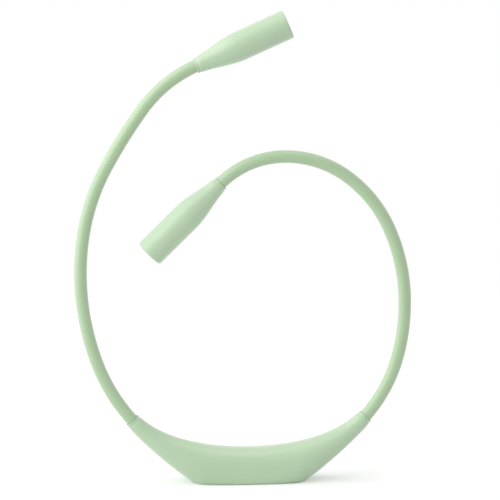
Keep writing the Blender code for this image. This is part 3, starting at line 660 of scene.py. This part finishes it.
MOUTH = Vector((MOUTH_SPAN / 2, 0, MOUTH_HEIGHT))
MOUTH_UP = direction(MOUTH_ANGLE + math.pi / 2)
TOP_MIDDLE = Vector((0, 0, HOUSING_HEIGHT))
TOP_END = MOUTH + MOUTH_UP * MOUTH_RADIUS
UNDERSIDE_END = MOUTH - MOUTH_UP * MOUTH_RADIUS
BASE_TIP = Vector((BASE_LENGTH / 2, 0, 0))
TOP_PATH = curve_points(
    TOP_MIDDLE, TOP_MIDDLE + direction(0) * TOP_MIDDLE_REACH,
    TOP_END - direction(TOP_END_ANGLE) * TOP_END_REACH, TOP_END)
TRIM_CORNER = BASE_TIP - direction(BASE_CORNER_ANGLE) * (BASE_TRIM / math.sin(BASE_CORNER_ANGLE))
UNDERSIDE_PATH = [Vector((0, 0, -BASE_TRIM)), TRIM_CORNER] + curve_points(
    BASE_TIP, BASE_TIP + direction(BASE_CORNER_ANGLE) * UNDERSIDE_CORNER_REACH,
    UNDERSIDE_END - direction(UNDERSIDE_END_ANGLE) * UNDERSIDE_END_REACH, UNDERSIDE_END)


def section_frame(share):
    """Middle, up direction, half height and half depth of the housing at a share."""
    top = at_share(TOP_PATH, share)
    low = at_share(UNDERSIDE_PATH, share)
    narrowing = ease((1 - share) / (1 - FULL_DEPTH_SHARE))
    half_depth = MOUTH_RADIUS + (HALF_DEPTH - MOUTH_RADIUS) * narrowing
    return (top + low) / 2, (top - low).normalized(), (top - low).length / 2, half_depth


def section(share, inset, sides):
    """One ring of points round the housing. A share below zero is on the left."""
    middle, up, half_height, half_depth = section_frame(abs(share))
    top_power = 2 + (TOP_SQUARENESS - 2) * ease(1 - abs(share))
    low_power = 2 + (BASE_SQUARENESS - 2) * ease(1 - abs(share) / BOXY_END_SHARE)
    ring = []
    for i in range(sides):
        angle = 2 * math.pi * i / sides
        across, along = math.cos(angle), math.sin(angle)
        power = top_power if along > 0 else low_power
        reach = (abs(across) ** power + abs(along) ** power) ** (-1 / power)
        point = middle + up * (along * reach * (half_height - inset))
        y = across * reach * (half_depth - inset)
        ring.append(Vector((math.copysign(1, share) * point.x, y, point.z)))
    return ring


def housing_block(inset, stations, sides, end_share, floor, fillets=False):
    """The housing as one solid, shrunk by an inset and cut flat at a floor height. With its
    fillets it also has its foot, set in a little from the edge of the base."""
    shares = [end_share * i / stations for i in range(stations + 1)]
    if fillets:
        lip, length = lip_spots(), path_length(TOP_PATH)
        shares = [share for share in shares if share < 1 - LIP_LENGTH / length]
        insets = [0] * len(shares) + [drawn_in for _, drawn_in in lip]
        shares += [1 - distance / length for distance, _ in lip]
    else:
        insets = [inset] * len(shares)
    loops = [section(share, depth, sides) for share, depth in zip(shares, insets)]
    mirrored = [[Vector((-p.x, p.y, p.z)) for p in loop] for loop in loops[:0:-1]]
    bm = loft(mirrored + loops)
    if fillets:
        ends = sorted(bm.faces, key=lambda face: len(face.verts))[-2:]
        round_edges(bm, [edge for face in ends for edge in face.edges], MOUTH_FILLET)
    below = bmesh.ops.bisect_plane(bm, geom=bm.verts[:] + bm.edges[:] + bm.faces[:],
                                   plane_co=(0, 0, floor), plane_no=(0, 0, -1),
                                   clear_outer=True, dist=CUT_TOLERANCE)
    rim = [e for e in below["geom_cut"] if isinstance(e, bmesh.types.BMEdge)]
    bmesh.ops.edgeloop_fill(bm, edges=rim)
    if fillets:
        round_edges(bm, rim, BASE_FILLET)
        sole = max((face for face in bm.faces if face.calc_center_median().z < floor + GAP),
                   key=lambda face: face.calc_area())
        for step in (FOOT_INSET, FOOT_DRAFT):
            bmesh.ops.inset_region(bm, faces=[sole], thickness=step, use_even_offset=True)
        bmesh.ops.translate(bm, verts=sole.verts[:], vec=(0, 0, -floor))
    return bm


def outer_form():
    """The housing's outside, with its fillets and its foot."""
    return housing_block(0, HOUSING_STATIONS, HOUSING_SIDES, 1, FOOT_HEIGHT, fillets=True)


def inner_form(inset, end_share, floor):
    """A plainer form within the housing, for its cavity and for what is cut to fit inside it."""
    return housing_block(inset, CAVITY_STATIONS, CAVITY_SIDES, end_share, floor)


def cover_prism(end_share, seam):
    """The space behind the seam, between the rear cover's two ends."""
    top, low = at_share(TOP_PATH, end_share), at_share(UNDERSIDE_PATH, end_share)
    slope = (low.x - top.x) / (top.z - low.z)
    high, deep = MOUTH_HEIGHT + OVERRUN, -OVERRUN
    wide, narrow = low.x + slope * (low.z - deep), top.x - slope * (high - top.z)
    outline = ((-wide, deep), (wide, deep), (narrow, high), (-narrow, high))
    return loft([[Vector((x, y, z)) for x, z in outline]
                 for y in (seam, HALF_DEPTH + OVERRUN)])


def lip_spots():
    """How far a mouth or a neck draws in towards its end, as (distance from the end, inset).
    A low bead runs round the end itself."""
    spots = [(LIP_LENGTH - (LIP_LENGTH - BEAD_LENGTH) * i / LIP_STATIONS,
              LIP_INSET * (i / LIP_STATIONS) ** 2) for i in range(LIP_STATIONS + 1)]
    bead = LIP_INSET - BEAD_HEIGHT
    return spots + [(BEAD_LENGTH - BEAD_HEIGHT, bead), (0, bead)]


def screw_places():
    """Where each screw's axis crosses the plane of the arms, as (name, x, z)."""
    spots = []
    for number, (share, rise) in enumerate(SCREW_SHARES, 1):
        middle, up, half_height, _ = section_frame(share)
        spot = middle + up * rise * half_height
        spots += [("%s_%d" % (side, number), sign * spot.x, spot.z)
                  for side, sign in SIGNS.items()]
    return spots


def depth_at(x):
    """The housing's half depth where the middle of its section is at x."""
    low, high = 0.0, 1.0
    while high - low > GAP:
        share = (low + high) / 2
        if section_frame(share)[0].x < x:
            low = share
        else:
            high = share
    return section_frame(low)[3]


BUTTON_X = section_frame(BUTTON_SHARE)[0].x


# The arms' route

def along_arc(point, heading, run, turn):
    """Where an arc ends that starts at a point and turns evenly, and its heading there."""
    chord = run * math.sin(turn / 2) / (turn / 2) if turn else run
    return point + direction(heading + turn / 2) * chord, heading + turn


def arm_place(side, distance):
    """The point on an arm's middle line at a distance from its mouth, and the heading. Inside
    the housing, where the distance is below zero, the line follows the crescent's curve."""
    sign = SIGNS[side]
    point = Vector((sign * MOUTH.x, 0, MOUTH.z))
    heading = MOUTH_ANGLE if sign > 0 else math.pi - MOUTH_ANGLE
    if distance < 0:
        return along_arc(point, heading, distance, sign * distance / INLET_CURVE_RADIUS)
    for bend in BENDS[side]:
        run = min(distance, LINK_LENGTH)
        point, heading = along_arc(point, heading, run, bend * run / LINK_LENGTH)
        distance -= run
    return along_arc(point, heading, distance, 0)


def arm_ring(side, distance, radius, sides):
    """A ring of points square to an arm."""
    point, heading = arm_place(side, distance)
    across = direction(heading + math.pi / 2)
    ring = []
    for i in range(sides):
        angle = 2 * math.pi * i / sides
        out = across * math.cos(angle) + Vector((0, math.sin(angle), 0))
        ring.append(point + out * radius)
    return ring


def hose(side, spots, sides, closed=False):
    """A mesh along an arm through (distance, radius) spots. Each vertex keeps its distance."""
    bm = bmesh.new()
    along = bm.verts.layers.float.new("along")
    rows = []
    for distance, radius in spots:
        row = [bm.verts.new(point) for point in arm_ring(side, distance, radius, sides)]
        for vert in row:
            vert[along] = distance
        rows.append(row)
    skin(bm, rows, closed)
    return mesh_of("hose", bm)


def spaced(start, end, spacing):
    """Distances from start to end, as near to a spacing as whole steps allow."""
    steps = max(round(abs(end - start) / spacing), 1)
    return [start + (end - start) * i / steps for i in range(steps + 1)]


# The housing's pieces

def mouth_bore(side):
    """The hole for an arm, from the housing's cavity out past its mouth."""
    return loft([arm_ring(side, d, ARM_BORE_RADIUS, SLEEVE_SIDES)
                 for d in spaced(-MOUTH_BORE_DEPTH, OVERRUN, RING_SPACING)])


def cover_openings():
    """Openings in the rear cover for the socket, the light guide and the buttons."""
    half_width, half_height = SOCKET_WIDTH / 2 + GAP, SOCKET_HEIGHT / 2 + GAP
    far, z = HALF_DEPTH + OVERRUN, BOARD_MIDDLE_HEIGHT
    bm = add_box(bmesh.new(), (-half_width, SEAM_OFFSET, z - half_height),
                 (half_width, far, z + half_height), edge=half_height * SOCKET_ROUND_SHARE)
    for x, radius in ((STATUS_OFFSET, LIGHT_GUIDE_RADIUS + GAP),
                      (-BUTTON_X, BUTTON_RADIUS + GAP), (BUTTON_X, BUTTON_RADIUS + GAP)):
        add_peg(bm, radius, (x, SEAM_OFFSET, z), (x, far, z))
    return bm


def housing_shells():
    """The front shell with its two mouths, and the rear cover that closes it."""
    bosses, pilot_holes, posts, screw_holes, counterbores = (bmesh.new() for _ in range(5))
    shank, head = SCREW_SHANK_RADIUS + GAP, SCREW_HEAD_RADIUS + GAP
    tip, far = COUNTERBORE_FLOOR - SCREW_LENGTH - GAP, HALF_DEPTH + OVERRUN
    for _, x, z in screw_places():
        add_peg(bosses, BOSS_RADIUS, (x, -far, z), (x, SEAM_OFFSET, z))
        add_peg(pilot_holes, shank, (x, tip, z), (x, SEAM_OFFSET + OVERRUN, z))
        add_peg(posts, POST_RADIUS, (x, SEAM_OFFSET + GAP, z), (x, far, z))
        add_peg(screw_holes, shank, (x, SEAM_OFFSET - GAP, z), (x, far, z))
        add_peg(counterbores, head, (x, COUNTERBORE_FLOOR, z), (x, far, z))

    root = WALL * POST_ROOT_SHARE
    boss_solid = carved("bosses", bosses, [("INTERSECT", inner_form(root, 1, root))])
    post_solid = carved("posts", posts, [("INTERSECT", inner_form(root, 1, root))])
    cavity = (WALL, CAVITY_END_SHARE, WALL)
    front = carved("front_shell_skin", outer_form(), [
        ("DIFFERENCE", inner_form(*cavity)),
        ("DIFFERENCE", mouth_bore("left")),
        ("DIFFERENCE", mouth_bore("right")),
        ("UNION", to_bmesh(boss_solid)),
        ("DIFFERENCE", pilot_holes),
        ("DIFFERENCE", cover_prism(COVER_END_SHARE, SEAM_OFFSET))])
    piece("front_shell_skin", front, ABS, ["front_shell"], "housing")
    cover_end = COVER_END_SHARE - GAP / path_length(TOP_PATH)
    cover = carved("rear_cover_skin", outer_form(), [
        ("INTERSECT", cover_prism(cover_end, SEAM_OFFSET + GAP)),
        ("DIFFERENCE", inner_form(*cavity)),
        ("UNION", to_bmesh(post_solid)),
        ("DIFFERENCE", screw_holes),
        ("DIFFERENCE", counterbores),
        ("DIFFERENCE", cover_openings())])
    piece("rear_cover_skin", cover, ABS, ["rear_cover"], "housing")


def facing_rear(x, z):
    """A world matrix that stands a turned piece's axis along +Y, its height counted from y = 0."""
    return Matrix.Translation((x, 0, z)) @ Matrix.Rotation(-math.pi / 2, 4, "X")


def screws():
    """Pan-head screws with a cross recess."""
    under = COUNTERBORE_FLOOR + GAP
    top = under + SCREW_HEAD_HEIGHT
    profile = [(0, top)] + arc(SCREW_HEAD_RADIUS - SCREW_EDGE, top - SCREW_EDGE, SCREW_EDGE, 90, 0)
    profile += [(SCREW_HEAD_RADIUS, under), (SCREW_SHANK_RADIUS, under),
                (SCREW_SHANK_RADIUS, under - SCREW_LENGTH), (0, under - SCREW_LENGTH)]
    low, high = top - CROSS_DEPTH, top + GAP
    for name, x, z in screw_places():
        slots = [add_box(bmesh.new(), (-wide / 2, -deep / 2, low), (wide / 2, deep / 2, high))
                 for wide, deep in ((CROSS_LENGTH, CROSS_WIDTH), (CROSS_WIDTH, CROSS_LENGTH))]
        blank = to_bmesh(turned("screw", profile, PEG_SIDES))
        screw = carved("screw", blank, [("DIFFERENCE", slot) for slot in slots])
        piece("screw_" + name, screw, ZINC, ["cover_screw_" + name], "housing",
              facing_rear(x, z))


def buttons():
    """Push buttons with a shallow dish for the finger."""
    face = depth_at(BUTTON_X)
    top, radius = face + BUTTON_PROUD, BUTTON_RADIUS
    flange_top = face - BUTTON_FLANGE_DROP
    flange_low = flange_top - BUTTON_FLANGE_THICKNESS
    profile = [(radius * out, top - BUTTON_DISH * down) for out, down in BUTTON_DISH_SHARES]
    profile.append((radius - 2 * BUTTON_EDGE, top - BUTTON_DISH_RIM))
    profile += arc(radius - BUTTON_EDGE, top - BUTTON_EDGE, BUTTON_EDGE, BUTTON_ARC_START, 0)
    stem_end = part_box("left_button")[0].y
    profile += [(radius, flange_top), (BUTTON_FLANGE_RADIUS, flange_top),
                (BUTTON_FLANGE_RADIUS, flange_low), (BUTTON_STEM_RADIUS, flange_low),
                (BUTTON_STEM_RADIUS, stem_end), (0, stem_end)]
    for side, sign in SIGNS.items():
        cap = turned(side + "_button_cap", profile, CAP_SIDES)
        piece(side + "_button_cap", cap, ABS, [side + "_button"], side + "_button",
              facing_rear(sign * BUTTON_X, BOARD_MIDDLE_HEIGHT))


def status_light():
    """The rod that leads the status lamp's light to the rear, with a rounded end."""
    low, high = (corner.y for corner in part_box("status_light_guide"))
    edge = LIGHT_GUIDE_EDGE
    end = [(0, high)] + arc(LIGHT_GUIDE_RADIUS - edge, high - edge, edge, 90, 0)
    rod = turned("status_light_rod", end + [(LIGHT_GUIDE_RADIUS, low), (0, low)], PEG_SIDES)
    piece("status_light_rod", rod, ACRYLIC, ["status_light_guide"], "housing",
          facing_rear(STATUS_OFFSET, BOARD_MIDDLE_HEIGHT))


def charging_socket():
    """The socket's steel shell, the tongue in it, and the tongue's gilt contacts."""
    middle, floor = BOARD_MIDDLE_HEIGHT, SOCKET_MOUTH - SOCKET_DEPTH
    wide, high = SOCKET_WIDTH / 2, SOCKET_HEIGHT / 2
    outer = add_box(bmesh.new(), (-wide, BOARD_REAR + GAP, middle - high),
                    (wide, SOCKET_MOUTH, middle + high), edge=high * SOCKET_ROUND_SHARE)
    wide, high = wide - SOCKET_WALL, high - SOCKET_WALL
    inner = add_box(bmesh.new(), (-wide, floor, middle - high),
                    (wide, SOCKET_MOUTH + OVERRUN, middle + high),
                    edge=high * SOCKET_ROUND_SHARE)
    shell = carved("socket_shell", outer, [("DIFFERENCE", inner)])
    piece("socket_shell", shell, NICKEL, ["charging_socket"], "housing")

    wide, high = TONGUE_WIDTH / 2, TONGUE_THICKNESS / 2
    tongue = add_box(bmesh.new(), (-wide, floor, middle - high),
                     (wide, floor + TONGUE_LENGTH, middle + high))
    corners = [e for e in tongue.edges if e.verts[0].co.xy == e.verts[1].co.xy
               and e.verts[0].co.y > floor + CONTACT_LENGTH]
    round_edges(tongue, corners, TONGUE_CORNER)
    piece("socket_tongue", mesh_of("socket_tongue", tongue), NYLON,
          body="housing")

    contacts, half = bmesh.new(), CONTACT_WIDTH / 2
    for number in range(CONTACT_COUNT):
        x = (number - (CONTACT_COUNT - 1) / 2) * CONTACT_PITCH
        for side in SIGNS.values():
            near, off = middle + side * high, middle + side * (high + CONTACT_THICKNESS)
            add_box(contacts, (x - half, floor, min(near, off)),
                    (x + half, floor + CONTACT_LENGTH, max(near, off)))
    piece("socket_contacts", mesh_of("socket_contacts", contacts), GOLD,
          body="housing")


# The arms' and the heads' pieces


def core_radius(distance):
    """The core's radius at a distance from the mouth, which dips between its turns."""
    return CORE_RADIUS - CORE_GROOVE * (0.5 - 0.5 * math.cos(2 * math.pi * distance / CORE_PITCH))


def arm(side):
    """The sleeve and the core of an arm, in stretches, each round one joint."""
    for number in range(1, JOINTS + 1):
        start, end = (number - 1) * LINK_LENGTH, number * LINK_LENGTH
        joint = (start + end) / 2
        bend_from, bend_to = (arm_place(side, joint + reach)[0]
                              for reach in (-BEND_REACH, BEND_REACH))
        last = [number + 1] if number == JOINTS else []
        past = SLEEVE_INSERT + CORE_PAST_SLEEVE

        low = -SLEEVE_INSERT if number == 1 else start
        high = ARM_LENGTH + SLEEVE_INSERT if last else end
        spots = [(d, ARM_RADIUS) for d in spaced(low, high, RING_SPACING)]
        spots += [(d, SLEEVE_BORE_RADIUS) for d in spaced(high, low, BORE_RING_SPACING)]
        sleeve = piece("%s_sleeve_stretch_%d" % (side, number),
                       hose(side, spots, SLEEVE_SIDES, closed=True), SILICONE,
                       ["%s_sleeve_%d" % (side, n) for n in [number] + last])
        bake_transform(sleeve)

        low = -past if number == 1 else start
        high = ARM_LENGTH + past if last else end
        spots = [(d, core_radius(d)) for d in spaced(low, high, CORE_PITCH / CORE_TURN_STEPS)]
        core = piece("%s_core_stretch_%d" % (side, number), hose(side, spots, CORE_SIDES),
                     SPRING, ["%s_core_%d" % (side, n) for n in [number] + last])
        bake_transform(core)


def head_profile(seat):
    """The head shell's section, down its outer side and back up its inside."""
    rim = arc(HEAD_RADIUS - RIM_FILLET, HEAD_LENGTH - RIM_FILLET, RIM_FILLET, 90, 0)
    heights = [TAPER_LENGTH * i / TAPER_STEPS for i in range(TAPER_STEPS, 0, -1)]
    spots = [(z, 0) for z in heights if z > LIP_LENGTH] + lip_spots()[:-1]
    taper = [(NECK_RADIUS + (HEAD_RADIUS - NECK_RADIUS) * ease(z / TAPER_LENGTH) - inset, z)
             for z, inset in spots]
    end = NECK_RADIUS - LIP_INSET + BEAD_HEIGHT
    neck = arc(end - NECK_FILLET, NECK_FILLET, NECK_FILLET, 0, -90)
    inside = [(ARM_BORE_RADIUS, 0), (ARM_BORE_RADIUS, NECK_BORE_DEPTH),
              (CHAMBER_RADIUS, seat - CHAMBER_LENGTH), (CHAMBER_RADIUS, seat),
              (LAMP_BORE_RADIUS, seat), (LAMP_BORE_RADIUS, HEAD_LENGTH)]
    return rim + taper + neck + inside


def bowl_radius(share, mouth):
    """The radius of a reflector's bowl, a paraboloid, at a share of the way to its mouth."""
    throat = REFLECTOR_THROAT_RADIUS
    return math.sqrt(throat ** 2 + (mouth ** 2 - throat ** 2) * share)


def lamps(side, board_front, body, axis):
    """A head's ring of lamps, each a white package with a dome of phosphor."""
    packages, domes, half = bmesh.new(), bmesh.new(), LED_SIZE / 2
    top = board_front + LED_HEIGHT
    for i in range(LED_COUNT):
        angle = 2 * math.pi * i / LED_COUNT
        x, y = LED_RING_RADIUS * math.cos(angle), LED_RING_RADIUS * math.sin(angle)
        add_box(packages, (x - half, y - half, board_front), (x + half, y + half, top))
        add_peg(domes, PHOSPHOR_RADIUS, (x, y, top), (x, y, top + PHOSPHOR_HEIGHT))
    round_top(packages, board_front + LED_HEIGHT / 2, LED_EDGE)
    round_top(domes, top + PHOSPHOR_HEIGHT / 2, PHOSPHOR_EDGE)
    piece(side + "_lamp_packages", mesh_of("packages", packages), WHITE_BOARD,
          body=body, world=axis)
    piece(side + "_lamp_phosphor", mesh_of("phosphor", domes), PHOSPHOR,
          body=body, world=axis)


def lamp_head(side):
    """The barrel, and in it the lamp board, its lamps, the reflector and the lens."""
    point, heading = arm_place(side, ARM_LENGTH)
    axis = Matrix.Translation(point) @ Matrix.Rotation(math.pi / 2 - heading, 4, "Y")
    body = side + "_head"
    lens_front = HEAD_LENGTH - LENS_RECESS
    lens_back = lens_front - LENS_THICKNESS
    bowl_back = lens_back - GAP - REFLECTOR_LENGTH
    board_front = bowl_back - GAP
    board_back = board_front - LED_BOARD_THICKNESS

    shell = turned(side + "_head_barrel", head_profile(board_back - GAP), HEAD_SIDES, closed=True)
    piece(side + "_head_barrel", shell, ABS, [side + "_head_shell"], body, axis)

    fit = LAMP_BORE_RADIUS - GAP
    dome = [(fit * share, lens_front - LENS_CROWN * share * share) for share in LENS_SHARES]
    edge = lens_front - LENS_EDGE_SHARE * LENS_CROWN
    lens = dome + [(fit, edge), (fit, lens_back), (0, lens_back)]
    piece(side + "_lens_disc", turned("lens", lens, HEAD_SIDES), POLYCARBONATE,
          [side + "_lens"], body, axis)

    bowl = [(bowl_radius(i / BOWL_STEPS, fit - REFLECTOR_LIP),
             bowl_back + REFLECTOR_LENGTH * i / BOWL_STEPS) for i in range(BOWL_STEPS + 1)]
    outside = [(fit, bowl_back + REFLECTOR_LENGTH), (fit, bowl_back)]
    piece(side + "_reflector_bowl", turned("bowl", outside + bowl, HEAD_SIDES, closed=True),
          MIRROR, [side + "_reflector"], body, axis)

    plate = add_peg(bmesh.new(), fit, (0, 0, board_back), (0, 0, board_front))
    round_top(plate, board_back + LED_BOARD_THICKNESS / 2, LED_EDGE)
    piece(side + "_lamp_plate", mesh_of("plate", plate), WHITE_BOARD,
          [side + "_lamp_board"], body, axis)
    lamps(side, board_front, body, axis)


# Pieces that keep their CAD shape

def finish_cad_nodes():
    """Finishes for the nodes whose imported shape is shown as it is."""
    looks = {"circuit_board": GREEN_BOARD, "battery_cell": FOIL, "battery_pad": FOAM,
             "left_switch": NYLON, "right_switch": NYLON}
    for side in SIGNS:
        looks[side + "_lamp_lead"] = WIRES["lamp_lead"]
        looks[side + "_housing_ferrule"] = ALUMINIUM
        looks[side + "_head_ferrule"] = ALUMINIUM
    for name in ("battery_lead_positive", "battery_lead_negative"):
        looks[name] = WIRES[name]
    for name, look in looks.items():
        for place in frame["nodes"][name].material_slots:
            place.material = look


# Camera, floor and light

def camera():
    """A long lens at the photograph's viewing angle."""
    data = bpy.data.cameras.new("camera")
    made = bpy.data.objects.new("camera", data)
    bpy.context.scene.collection.objects.link(made)
    level = math.cos(VIEW_ELEVATION)
    back = Vector((math.sin(VIEW_AZIMUTH) * level, -math.cos(VIEW_AZIMUTH) * level,
                   math.sin(VIEW_ELEVATION)))
    made.location = VIEW_TARGET + back * VIEW_DISTANCE
    made.rotation_mode = "QUATERNION"
    made.rotation_quaternion = (-back).to_track_quat("-Z", "Y")
    data.sensor_width = SENSOR_WIDTH
    data.lens = SENSOR_WIDTH * VIEW_DISTANCE / VIEW_WIDTH
    data.clip_start, data.clip_end = CLIP_START, CLIP_END
    bpy.context.scene.camera = made


def seen_white(tree):
    """1 for the rays that should see plain white: those of the camera, of gloss and of glass."""
    path = add(tree, "LightPath")
    rays = [path.outputs[name] for name in
            ("Is Camera Ray", "Is Glossy Ray", "Is Transmission Ray")]
    some = add(tree, "Math", {0: rays[0], 1: rays[1]}, operation="MAXIMUM").outputs[0]
    return add(tree, "Math", {0: some, 1: rays[2]}, operation="MAXIMUM").outputs[0]


def world():
    """A white room: plain white to look at, dimmer as a light."""
    made = bpy.data.worlds.new("studio")
    bpy.context.scene.world = made
    made.use_nodes = True
    tree = made.node_tree
    strength = add(tree, "MapRange", {"Value": seen_white(tree), "To Min": WORLD_STRENGTH,
                                      "To Max": 1.0}).outputs["Result"]
    background = tree.nodes["Background"]
    background.inputs["Color"].default_value = (1, 1, 1, 1)
    tree.links.new(strength, background.inputs["Strength"])


def floor_square():
    """A flat square just under the base. Past its edges the room is plain white."""
    bm = bmesh.new()
    bmesh.ops.create_grid(bm, x_segments=1, y_segments=1, size=FLOOR_REACH,
                          matrix=Matrix.Translation((0, 0, -FLOOR_DROP)))
    return bm


def floor():
    """A matt white floor that keeps the light's shadow and otherwise shows as plain white."""
    mesh = mesh_of("floor", floor_square())
    made = bpy.data.objects.new("floor", mesh)
    bpy.context.scene.collection.objects.link(made)
    material = bpy.data.materials.new("matt_white_sweep")
    material.use_nodes = True
    tree = material.node_tree
    tree.nodes.clear()
    matt = add(tree, "BsdfDiffuse", {"Color": (FLOOR_GREY, FLOOR_GREY, FLOOR_GREY, 1)})
    lift = add(tree, "Math", {0: seen_white(tree), 1: FLOOR_LIFT}, operation="MULTIPLY")
    glow = add(tree, "Emission", {"Strength": lift.outputs[0]})
    both = add(tree, "AddShader", {0: matt.outputs[0], 1: glow.outputs[0]})
    add(tree, "OutputMaterial", {"Surface": both.outputs[0]})
    mesh.materials.append(material)


def soft_light(name, place, size, power):
    """A large square lamp that faces the middle of the light."""
    data = bpy.data.lights.new(name, "AREA")
    data.size = size
    data.energy = power
    made = bpy.data.objects.new(name, data)
    bpy.context.scene.collection.objects.link(made)
    made.location = place
    made.rotation_mode = "QUATERNION"
    made.rotation_quaternion = (VIEW_TARGET - place).to_track_quat("-Z", "Y")


camera()
world()
floor()
soft_light("key", KEY_PLACE, KEY_SIZE, KEY_POWER)
soft_light("top", TOP_PLACE, TOP_SIZE, TOP_POWER)

housing_shells()
screws()
buttons()
status_light()
charging_socket()
for arm_side in SIGNS:
    arm(arm_side)
    lamp_head(arm_side)
finish_cad_nodes()

bpy.context.scene.view_settings.view_transform = "Standard"
